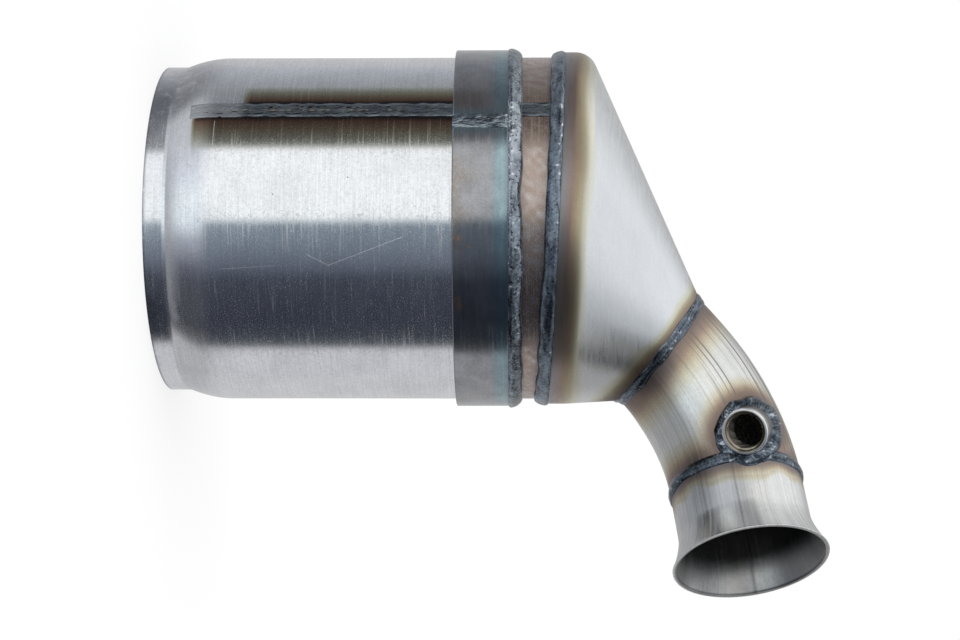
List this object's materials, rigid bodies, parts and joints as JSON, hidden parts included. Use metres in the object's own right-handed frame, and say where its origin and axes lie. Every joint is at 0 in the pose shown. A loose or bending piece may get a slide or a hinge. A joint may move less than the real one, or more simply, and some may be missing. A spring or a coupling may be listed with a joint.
{
  "type": "diesel particulate filter",
  "caption": "Welded steel exhaust filter canister with a ceramic block, slanted outlet cone, bent outlet pipe and sensor boss.",
  "frame": {"origin": "middle of the part's footprint, on the plane of the canister's inlet rim", "axes": "+Z along the canister's axis from the inlet rim to the outlet cone, +X towards the side that the outlet pipe leaves, -Y the front, which the pipe's mouth and the sensor boss turn to"},
  "size_m": [0.246, 0.162, 0.2909],
  "materials": {
    "brushed_shell": "brushed round the barrel, heat tint beside the seam",
    "seam_bead": "flat fused seam, dark edges",
    "dark_band": "dark heat-tinted band with a little rust",
    "weld_bead": "rough rippled weld metal",
    "pressed_cone": "satin pressed sheet with heat tint near the welds",
    "tinted_tube": "drawn tube with heat tint near the welds",
    "turned_boss": "turned, lightly tinted",
    "fibre_mat": "compressed ceramic fibre",
    "cement": "rough cement",
    "filter_ceramic": "matt porous ceramic, cells plugged in a chequer"
  },
  "bodies": {
    "root": {"canister_shell": "brushed_shell", "shell_seam_weld": "seam_bead", "collar_band": "dark_band", "collar_seam_weld": "seam_bead", "collar_weld": "weld_bead", "cone_weld": "weld_bead", "outlet_cone": "pressed_cone", "elbow_weld": "weld_bead", "elbow_tube": "tinted_tube", "outlet_weld": "weld_bead", "outlet_tube": "tinted_tube", "sensor_boss": "turned_boss", "boss_weld": "weld_bead", "support_mat": "fibre_mat", "filter_cement": "cement", "filter_segment_a1": "filter_ceramic", "filter_segment_a2": "filter_ceramic", "filter_segment_a3": "filter_ceramic", "filter_segment_a4": "filter_ceramic", "filter_segment_b1": "filter_ceramic", "filter_segment_b2": "filter_ceramic", "filter_segment_b3": "filter_ceramic", "filter_segment_b4": "filter_ceramic", "filter_segment_c1": "filter_ceramic", "filter_segment_c2": "filter_ceramic", "filter_segment_c3": "filter_ceramic", "filter_segment_c4": "filter_ceramic", "filter_segment_d1": "filter_ceramic", "filter_segment_d2": "filter_ceramic", "filter_segment_d3": "filter_ceramic", "filter_segment_d4": "filter_ceramic"}
  },
  "joints": []
}
